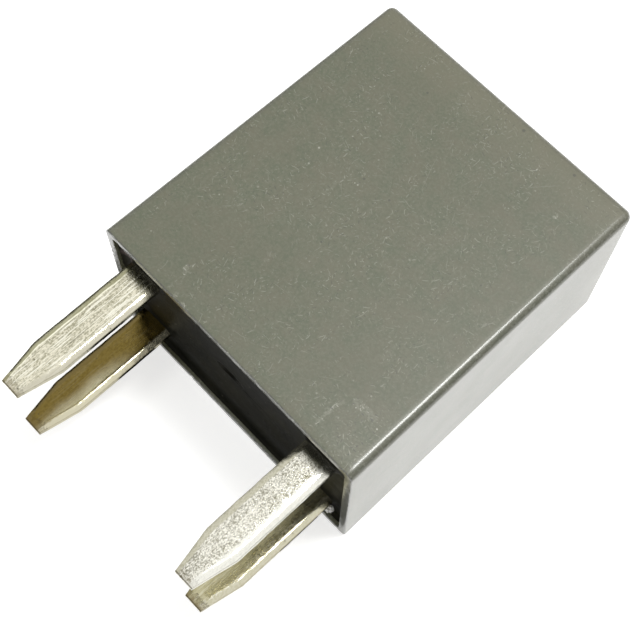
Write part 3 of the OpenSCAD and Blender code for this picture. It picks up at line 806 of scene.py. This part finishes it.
def cover_colour(g, flat, grain, worn, haze, marks):
    """The cover's colour: mottle, painted sheen, marks, specks, haze and painted light, then painted shade and
    dust at the rim.
    """
    y = g.split(g.place)[1]
    patch = g.noise(g.place, scale=0.75, detail=5.0, roughness=0.62)
    colour = g.paint(COVER_GREEN, COVER_BROWN, g.between(patch, 0.32, 0.68))
    colour = g.paint(colour, COVER_PALE, g.between(grain, 0.38, 0.72))
    # Painted sheen: warmer and paler toward the closed end.
    colour = g.paint(colour, COVER_WARM_SHEEN, g.between(y, COVER_H - 4.5, COVER_H - 0.5, 0.0, 0.55))
    colour = g.paint(colour, COVER_SCUFF, marks, 0.38)
    colour = g.paint(colour, COVER_SCUFF, g.specks(flat, *BRIGHT_SPECKS), worn, 0.75)
    colour = g.paint(colour, COVER_DIRT_AND_SHADE, g.scratches(flat, *DARK_MARKS), worn, 0.5)
    colour = g.paint(colour, COVER_DIRT_AND_SHADE, g.specks(flat, *DARK_SPECKS), 0.6)
    # Haze over the rubbed places, and painted light in the two broad patches by the front right corner.
    colour = g.paint(colour, COVER_SCUFF, haze, g.between(grain, 0.3, 0.7, 0.15, 1.0))
    # Painted shade: the rim's end is darkened, unevenly with the grain.
    colour = g.paint(colour, COVER_DIRT_AND_SHADE, g.fading(y, 0.04, 0.14), g.between(grain, 0.4, 0.6, 0.45, 0.95))
    return g.paint(colour, COVER_SCUFF, g.specks(flat, *RIM_DUST), g.fading(y, 0.15, 0.7, 0.7))


def cover_plastic():
    """Satin grey-green moulded plastic, handled: mottle, many faint flecks, rubbed places and worn edges, with
    painted light and shade.
    """
    g = Graph("cover_plastic_look")
    flat = g.flat_place()
    broad = g.noise(g.place, scale=0.14)
    grain = g.noise(g.place, scale=5.0, detail=4.0, roughness=0.65)
    worn, haze = cover_wear_and_light(g, broad)
    marks = cover_marks(g, flat, worn)
    colour = cover_colour(g, flat, grain, worn, haze, marks)
    edge = g.attribute("edge")
    chip = g.between(g.noise(g.place, scale=4.0, detail=4.0, roughness=0.7), 0.5, 0.64)
    # Painted shade: the rounded edges are darkened.
    colour = g.paint(colour, COVER_DIRT_AND_SHADE, edge, 0.45)
    colour = g.paint(colour, COVER_SCUFF, edge, chip, 0.2)
    roughness = g.plus(g.between(broad, 0.3, 0.7, 0.36, 0.44), g.times(marks, 0.1))
    roughness = g.minus(roughness, g.times(edge, g.between(chip, 0.0, 1.0, 0.06, -0.04)))
    texture = g.noise(g.place, scale=9.0, roughness=0.6)
    rubbing = g.noise(g.place, scale=3.2, detail=4.0, roughness=0.75)
    normal = g.bump(texture, depth=0.006, strength=0.6)
    normal = g.bump(broad, depth=0.04, strength=0.6, Normal=normal)
    normal = g.bump(g.minus(1.0, marks), depth=0.009, strength=0.8, Normal=normal)
    normal = g.bump(g.times(rubbing, edge), depth=0.09, strength=0.6, Normal=normal)
    return g.finish(
        Base_Color=colour, Roughness=roughness, Normal=normal, Coat_Weight=0.8, Coat_Roughness=0.2
    )


# -------- the plating

DRAWN_BRIGHT = (1.0, 0.98, 0.84)
DRAWN_DARK = (0.12, 0.11, 0.07)
# Painted glints by a blade's right edge, and the painted highlight line inside its left border
GLITTER = (0.95, 0.93, 0.84)
CREST = (1.0, 0.98, 0.78)
# Painted shade on a blade's tip, the line round its tip bevel and its edges
TIP_BROWN = (0.17, 0.13, 0.06)
TIP_OUTLINE = (0.07, 0.055, 0.025)
TIP_LIP = (0.05, 0.04, 0.02)
EDGE_SHADE = (0.16, 0.145, 0.07)
# Pits in the plating
PIT = (0.08, 0.07, 0.045)
PITS = (0.7, 0.05, 0.3)

# The four blades' plating. The two at the back are darker and browner, as in the photo: painted shade in their
# colours.
PLATING = {
    "coil_terminal_front": dict(
        name="tin_front_left", seed=1.0, tint=(0.86, 0.82, 0.655), dull=(0.345, 0.33, 0.225),
        left=(0.35, 0.34, 0.20), right=(0.63, 0.60, 0.48), drawn=0.42, crest=0.95, tip_shade=0.5,
    ),
    "coil_terminal_back": dict(
        name="tin_back_left", seed=2.0, tint=(0.195, 0.142, 0.038), dull=(0.155, 0.11, 0.026),
        left=(0.17, 0.13, 0.05), right=(0.66, 0.62, 0.46), drawn=0.015, fade=(0.60, 0.56, 0.39),
    ),
    "common_terminal": dict(
        name="tin_front_right", seed=3.0, tint=(0.96, 0.94, 0.84), dull=(0.20, 0.19, 0.128),
        left=(0.56, 0.54, 0.41), right=(0.92, 0.91, 0.83), tip_shade=0.25, plain=0.42, cell=18.5,
    ),
    "contact_terminal": dict(
        name="tin_back_right", seed=4.0, tint=(0.53, 0.495, 0.315), dull=(0.48, 0.445, 0.27),
        left=(0.3, 0.27, 0.14), right=(0.62, 0.59, 0.44), glitter=0.65, tip_shade=0.75, fade=(0.51, 0.48, 0.32),
    ),
}


class Plate:
    """The patterns that one blade's plating is painted from."""

    def __init__(self, name, seed, cell):
        g = self.g = Graph(name)
        seeded = g.vector("ADD", g.place, (seed * 3.0, seed * 5.0, seed * 2.0))
        self.x, self.y, self.z = x, y, z = g.split(seeded)
        stretched = g.join(x, g.times(y, 0.7), z)
        drawn_out = g.join(g.times(x, 18.0), g.times(y, 1.1), g.times(z, 18.0))
        self.lines = g.noise(drawn_out, scale=1.0, detail=4.0, roughness=0.7)
        self.grains = g.noise(stretched, scale=1.2 * cell, detail=2.0, roughness=0.8)
        self.flakes = g.noise(stretched, scale=5.5, detail=5.0, roughness=0.75)
        self.clouds = g.noise(g.join(x, y, z), scale=0.6)
        ragged = g.vector("SCALE", g.join(self.flakes, self.grains, 0.0), Scale=0.2)
        self.crystal = g.split(g.cells(g.vector("ADD", stretched, ragged), cell)["Color"])
        self.across, self.from_tip = g.attribute("across"), g.attribute("from_tip")

    def mottle(self, drawn):
        """Bright and dull grains, with that share of drawing lines."""
        g = self.g
        salt = g.between(self.crystal[0], 0.0, 1.0, 0.3, 0.7)
        coarse = g.plus(g.times(salt, 0.5), g.plus(g.times(self.grains, 0.35), g.times(self.flakes, 0.15)))
        mottle = g.plus(g.times(self.lines, drawn), g.times(coarse, 1 - drawn))
        return g.wavering(mottle, self.clouds, 0.16)

    def faded(self, colour, fade):
        """Painted light: turns to another colour over the right side, toward the tip."""
        g = self.g
        lean = g.wavering(self.across, self.clouds, 0.5)
        reach = g.times(g.between(lean, -0.1, 0.8), g.fading(self.from_tip, 5.0, 9.5))
        return g.paint(colour, fade, reach, g.between(self.from_tip, 0.6, 2.6, 0.5, 1.0), 0.95)

    def scored(self, colour, drawn):
        """Single bright and dark lines along the blade."""
        g = self.g
        scored = g.noise(g.join(g.times(self.x, 11.0), g.times(self.y, 0.4), self.z), scale=1.0, detail=2.0)
        colour = g.paint(colour, DRAWN_BRIGHT, g.between(scored, 0.56, 0.61), min(1, 2 * drawn))
        return g.paint(colour, DRAWN_DARK, g.fading(scored, 0.36, 0.4), drawn)

    def bordered(self, colour, left, right, plain, crest):
        """Painted shade along the left edge, a painted highlight along the right one, and a painted highlight line
        inside the left one.
        """
        g = self.g
        waved = g.wavering(self.across, self.clouds, 0.12)
        frayed = g.wavering(self.across, self.flakes, 0.5)
        colour = g.paint(colour, left, g.between(waved, -0.64, -0.7, 0.0, 0.8))
        colour = g.paint(colour, right, g.between(frayed, plain, plain + 0.14, 0.0, 0.85))
        broken = g.between(self.flakes, 0.38, 0.54, 0.35 * crest, crest)
        return g.paint(colour, CREST, g.band(waved, -0.71, -0.67, -0.64, -0.6), broken)

    def shaded_and_pitted(self, colour, tip_shade, seed):
        """Painted shade: brown at the tip with a dark outline, a dark lip and darker edges; and pits."""
        g = self.g
        ragged = g.wavering(self.from_tip, self.flakes, 1.8)
        colour = g.paint(colour, TIP_BROWN, g.fading(ragged, 0.1, 0.6, tip_shade))
        colour = g.paint(colour, TIP_OUTLINE, g.band(ragged, 0.42, 0.5, 0.54, 0.62), tip_shade)
        colour = g.paint(colour, TIP_LIP, g.band(self.from_tip, 0.01, 0.04, 0.06, 0.12), 0.8)
        outward = g.plus(g.math("ABSOLUTE", self.across), g.times(self.flakes, 0.08))
        # Painted shade on the blade's edges.
        colour = g.paint(colour, EDGE_SHADE, g.between(outward, 1.0, 1.03), 0.5)
        return g.paint(colour, PIT, g.specks(g.join(self.x, self.y, 0.0), *PITS, seed), 0.6)


def tin_plate(
    name, seed, tint, dull, left, right,
    drawn=0.1, glitter=0.0, crest=0.0, tip_shade=0.55, plain=0.6, fade=None, cell=12.5,
):
    """Tin plate over brass: bright grains among dull ones, drawing lines, painted shade along the left edge
    and a painted highlight along the right one.

    drawn is the lines' share; left and right are the colours of that painted shade and highlight, and plain is
    where the right one starts; glitter paints glints on grains by the right edge; crest paints a highlight line
    inside the left border; stain is the strength of the painted shade, brown, at the tip; fade is the colour of
    the painted light that the right side turns to toward the tip; cell is how many grains there are to a
    millimetre.
    """
    plate = Plate(name, seed, cell)
    g = plate.g
    mottle = plate.mottle(drawn)
    colour = g.paint(dull, tint, g.between(mottle, 0.38, 0.58))
    if fade is not None:
        colour = plate.faded(colour, fade)
    colour = plate.scored(colour, drawn)
    by_right_edge = g.between(plate.across, 0.35, 0.75)
    # Painted glints on the grains by the right edge.
    colour = g.paint(colour, GLITTER, by_right_edge, g.math("GREATER_THAN", plate.crystal[1], 0.45), glitter)
    colour = plate.bordered(colour, left, right, plain, crest)
    colour = plate.shaded_and_pitted(colour, tip_shade, seed)
    normal = g.bump(plate.grains, depth=0.014, strength=0.35)
    normal = g.bump(plate.lines, depth=0.01, strength=0.4 * drawn, Normal=normal)
    roughness = g.between(mottle, 0.4, 0.58, 0.2, 0.09)
    return g.finish(Base_Color=colour, Metallic=1.0, Roughness=roughness, Normal=normal)


# -------- the other materials

RESIN_BLACK = (0.004, 0.004, 0.0025)
RESIN_WORN = (0.011, 0.0105, 0.0065)
RESIN_DUST = (0.25, 0.24, 0.2)
RESIN_DUST_SPECKS = (1.5, 0.06, 0.22, 2.0)
RESIN_BLOOM = (0.12, 0.095, 0.09)
RESIN_BLOOM_AT = (-10.3, 4.6)
WIRE_D = 0.2
WIRE_DARK = (0.46, 0.15, 0.05)
WIRE_BRIGHT = (0.62, 0.23, 0.08)
WIRE_GROOVE_SHADE = (0.12, 0.03, 0.01)

# Plastics by colour, paler patches and roughness
SPECK_LOOK = ((0.86, 0.86, 0.84), (0.95, 0.94, 0.93), 0.3)
CARD_LOOK = ((0.02, 0.02, 0.018), (0.03, 0.03, 0.027), 0.9)
INNER_PLASTICS = {
    "base_plastic_look": ((0.02, 0.02, 0.016), (0.045, 0.044, 0.038), 0.45),
    "bobbin_plastic_look": ((0.30, 0.29, 0.25), (0.42, 0.40, 0.35), 0.45),
    "resistor_coat_look": ((0.42, 0.30, 0.16), (0.56, 0.42, 0.25), 0.35),
}

# Metals by colour, darker patches, roughness, the grain's scale and how far it is stretched in x, y and z
INNER_METALS = {
    "plated_iron_look": ((0.66, 0.67, 0.68), (0.45, 0.46, 0.47), 0.32, 3.0),
    "copper_alloy_look": ((0.83, 0.53, 0.32), (0.6, 0.34, 0.18), 0.28, 3.0, (0.3, 4.0, 4.0)),
    "contact_silver_look": ((0.87, 0.86, 0.83), (0.62, 0.61, 0.58), 0.3, 5.0),
    "rivet_brass_look": ((0.82, 0.66, 0.33), (0.55, 0.4, 0.17), 0.3, 5.0),
    "solder_look": ((0.66, 0.66, 0.65), (0.42, 0.42, 0.41), 0.3, 3.0),
}
INNER_NODES = {
    "base_plastic_look": ["base"],
    "bobbin_plastic_look": ["bobbin"],
    "enamelled_copper_look": ["winding"],
    "plated_iron_look": ["yoke", "core", "armature", "rest_stop"],
    "copper_alloy_look": ["contact_spring"],
    "contact_silver_look": ["moving_contact", "fixed_contact"],
    "rivet_brass_look": ["spring_rivets", "armature_rivets", "terminal_rivet"],
    "resistor_coat_look": ["suppression_resistor"],
    "solder_look": ["solder_joints"],
}


def black_resin():
    """Cured black potting resin: dull, slightly wavy, with dust and a paler patch."""
    g = Graph("sealant_resin_look")
    x, _, z = g.split(g.place)
    clouds = g.noise(g.place, scale=0.5, detail=4.0)
    colour = g.paint(RESIN_BLACK, RESIN_WORN, g.between(clouds, 0.35, 0.7))
    colour = g.paint(colour, RESIN_DUST, g.specks(g.join(x, z, 0.0), *RESIN_DUST_SPECKS), 0.5)
    from_bloom = g.vector("DISTANCE", g.join(x, z, clouds), (*RESIN_BLOOM_AT, 0.5))
    colour = g.paint(colour, RESIN_BLOOM, g.fading(from_bloom, 0.25, 0.75, 0.8))
    roughness = g.between(clouds, 0.3, 0.75, 0.45, 0.6)
    normal = g.bump(g.noise(g.place, scale=2.2, detail=2.0), depth=0.04, strength=0.35)
    return g.finish(Base_Color=colour, Roughness=roughness, Normal=normal, Specular_IOR_Level=0.05)


def moulded(name, colour, paler, roughness):
    """Plain moulded plastic with faint clouds and a fine texture."""
    g = Graph(name)
    clouds = g.noise(g.place, scale=0.7, detail=4.0, roughness=0.6)
    texture = g.noise(g.place, scale=9.0, detail=2.0)
    return g.finish(
        Base_Color=g.paint(colour, paler, g.between(clouds, 0.3, 0.7)),
        Roughness=g.between(clouds, 0.3, 0.7, roughness - 0.06, roughness + 0.08),
        Normal=g.bump(texture, depth=0.006, strength=0.5),
    )


def metal(name, colour, darker, roughness, scale, stretch=(1.0, 1.0, 1.0)):
    """Metal for a part inside, smoother where it is brighter."""
    g = Graph(name)
    grain = g.noise(g.vector("MULTIPLY", g.place, stretch), scale=scale, detail=4.0, roughness=0.6)
    return g.finish(
        Base_Color=g.paint(darker, colour, g.between(grain, 0.35, 0.65)),
        Metallic=1.0,
        Roughness=g.between(grain, 0.3, 0.7, roughness + 0.08, roughness - 0.06),
        Normal=g.bump(grain, depth=0.008, strength=0.4),
    )


def wound_wire():
    """Enamelled copper wire: close turns along the coil's axis, with painted shade in the grooves between them."""
    g = Graph("enamelled_copper_look")
    y = g.split(g.place)[1]
    turns = g.math("ABSOLUTE", g.math("SINE", g.times(y, math.pi / WIRE_D)))
    clouds = g.noise(g.place, scale=1.2)
    colour = g.paint(WIRE_DARK, WIRE_BRIGHT, g.between(clouds, 0.3, 0.7))
    # Painted shade darkens the grooves between the turns.
    return g.finish(
        Base_Color=g.paint(colour, WIRE_GROOVE_SHADE, g.fading(turns, 0.0, 0.5, 0.6)),
        Metallic=0.6,
        Roughness=g.between(clouds, 0.3, 0.7, 0.3, 0.42),
        Normal=g.bump(turns, depth=0.05, strength=0.7),
        Coat_Weight=0.4,
        Coat_Roughness=0.2,
    )


def inside_looks():
    """Each inner node's material."""
    looks = {"enamelled_copper_look": wound_wire()}
    looks.update({name: moulded(name, *values) for name, values in INNER_PLASTICS.items()})
    looks.update({name: metal(name, *values) for name, values in INNER_METALS.items()})
    return {node: looks[name] for name, nodes in INNER_NODES.items() for node in nodes}


def floor_look():
    """A pale board that reads white to the camera and in gloss, and keeps the object's shadow."""
    material = bpy.data.materials.new("floor_board")
    material.use_nodes = True
    tree = material.node_tree
    paths = tree.nodes.new("ShaderNodeLightPath").outputs
    in_gloss = math_node(tree, "ADD", paths["Is Glossy Ray"], paths["Is Transmission Ray"])
    in_gloss = math_node(tree, "MULTIPLY", in_gloss, FLOOR_GLOW_IN_GLOSS)
    glow = math_node(tree, "MULTIPLY_ADD", paths["Is Camera Ray"], FLOOR_GLOW, in_gloss)
    feed_inputs(
        tree, first_node(tree, "BSDF_PRINCIPLED"),
        Base_Color=FLOOR_COLOUR, Roughness=FLOOR_ROUGHNESS, Specular_IOR_Level=0.0,
        Emission_Color=WHITE, Emission_Strength=glow,
    )
    return material


# -------- the studio


def direction(azimuth, elevation):
    """From the object toward that azimuth, which starts at -Y and grows toward +X, and elevation."""
    a, e = math.radians(azimuth), math.radians(elevation)
    return Vector((math.sin(a) * math.cos(e), -math.cos(a) * math.cos(e), math.sin(e)))


def aim(thing, back):
    """Turns a lamp or the camera to face against that direction."""
    thing.rotation_mode = "QUATERNION"
    thing.rotation_quaternion = back.to_track_quat("Z", "Y")


def make_floor():
    """The board that the relay lies on, under its slightly leaning back face."""
    bm = bmesh.new()
    bmesh.ops.create_grid(bm, x_segments=FLOOR_SQUARES, y_segments=FLOOR_SQUARES, size=FLOOR_HALF_M)
    lean = Matrix.Rotation(math.atan2(COVER_DRAFT, COVER_H), 4, "X")
    bmesh.ops.transform(bm, matrix=Matrix.Translation((0, 0, -HALF_T * MM)) @ lean, verts=bm.verts)
    floor = mesh_object("floor", bm, floor_look())


def area_light(name, azimuth, elevation, distance, size, watts):
    """A soft square light that faces the object's middle."""
    data = bpy.data.lights.new(name, "AREA")
    data.size = size
    data.energy = watts
    back = direction(azimuth, elevation)
    lamp = add_object(name, data)
    lamp.location = Vector((0, LAMPS_AIM_Y * MM, 0)) + back * distance
    aim(lamp, back)


def dark_card(name, near, far):
    """A black card between two rows of points, that only gloss sees, as a studio flag."""
    bm = bmesh.new()
    verts = [bm.verts.new([c * MM for c in point]) for point in near + far[::-1]]
    for i in range(len(near) - 1):
        bm.faces.new((verts[i], verts[i + 1], verts[-i - 2], verts[-i - 1]))
    card = mesh_object(name, bm, moulded(name + "_look", *CARD_LOOK))
    for kind in ("camera", "diffuse", "transmission", "volume_scatter", "shadow"):
        setattr(card, "visible_" + kind, False)


def floor_card(name, low, high):
    """A black card lying under the overhanging blades: painted shade, the floor's shade there as reflections see
    it.
    """
    z = -HALF_T + CARD_BELOW_LIFT
    dark_card(name, [(x, low[1], z) for x in (low[0], high[0])], [(x, high[1], z) for x in (low[0], high[0])])


def standing_card(name, azimuth, span, distance, height):
    """A black card standing round one side of the object."""
    low, high = [], []
    for angle in spread(azimuth - span / 2, azimuth + span / 2, CARD_SEGMENTS):
        x, y = distance * math.sin(math.radians(angle)), -distance * math.cos(math.radians(angle))
        low.append((x, y, -HALF_T))
        high.append((x, y, height))
    dark_card(name, low, high)


def make_world():
    """An even fill that reads white to the camera, in gloss and through glass."""
    world = bpy.data.worlds.new("studio")
    bpy.context.scene.world = world
    world.use_nodes = True
    tree = world.node_tree
    paths = tree.nodes.new("ShaderNodeLightPath").outputs
    white = math_node(tree, "ADD", paths["Is Camera Ray"], paths["Is Glossy Ray"], clamped=True)
    white = math_node(tree, "ADD", white, paths["Is Transmission Ray"], clamped=True)
    level = tree.nodes.new("ShaderNodeMapRange")
    feed_inputs(tree, level, Value=white, To_Min=WORLD_FILL, To_Max=1.0)
    feed_inputs(tree, first_node(tree, "BACKGROUND"), Color=WHITE, Strength=level.outputs["Result"])


def make_camera():
    """The camera at the photograph's viewing angle."""
    data = bpy.data.cameras.new("camera")
    data.lens = CAMERA_LENS
    data.sensor_width = CAMERA_SENSOR
    data.clip_start, data.clip_end = CAMERA_CLIP_M
    camera = add_object("camera", data)
    back = direction(CAMERA_AZIMUTH, CAMERA_ELEVATION)
    camera.location = (Vector(CAMERA_TARGET) + back * CAMERA_DISTANCE) * MM
    aim(camera, back)
    camera.rotation_quaternion @= Matrix.Rotation(math.radians(CAMERA_ROLL), 4, "Z").to_quaternion()
    bpy.context.scene.camera = camera


# -------- the relay


def dress_blades():
    """Four plated blades, each with its own pattern."""
    for node, plating in PLATING.items():
        piece = terminal_mesh(node, tin_plate(**plating))
        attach(piece, "housing")
        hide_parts(node)


def dress_outside():
    """The cover, the poured resin and the speck on it."""
    shell = cover_mesh(cover_plastic())
    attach(shell, "housing")
    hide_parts("cover")
    resin = resin_mesh(black_resin())
    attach(resin, "housing")
    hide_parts("sealant")
    speck = glue_speck(moulded("speck_look", *SPECK_LOOK))
    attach(speck, "housing")


def dress_inside():
    """Materials for the inner CAD nodes, and a finely cut copy of the contact spring in its place."""
    looks = inside_looks()
    for node, look in looks.items():
        for slot in frame["nodes"][node].material_slots:
            slot.material = look
    leaf = spring_leaf(looks["contact_spring"])
    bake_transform(leaf)
    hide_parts("contact_spring")


bpy.context.scene.view_settings.view_transform = "Standard"
make_camera()
make_world()
make_floor()
for name, values in LAMPS.items():
    area_light(name, *values)
floor_card("card_below", *CARD_BELOW)
for name, values in STANDING_CARDS.items():
    standing_card(name, *values)
dress_outside()
dress_blades()
dress_inside()
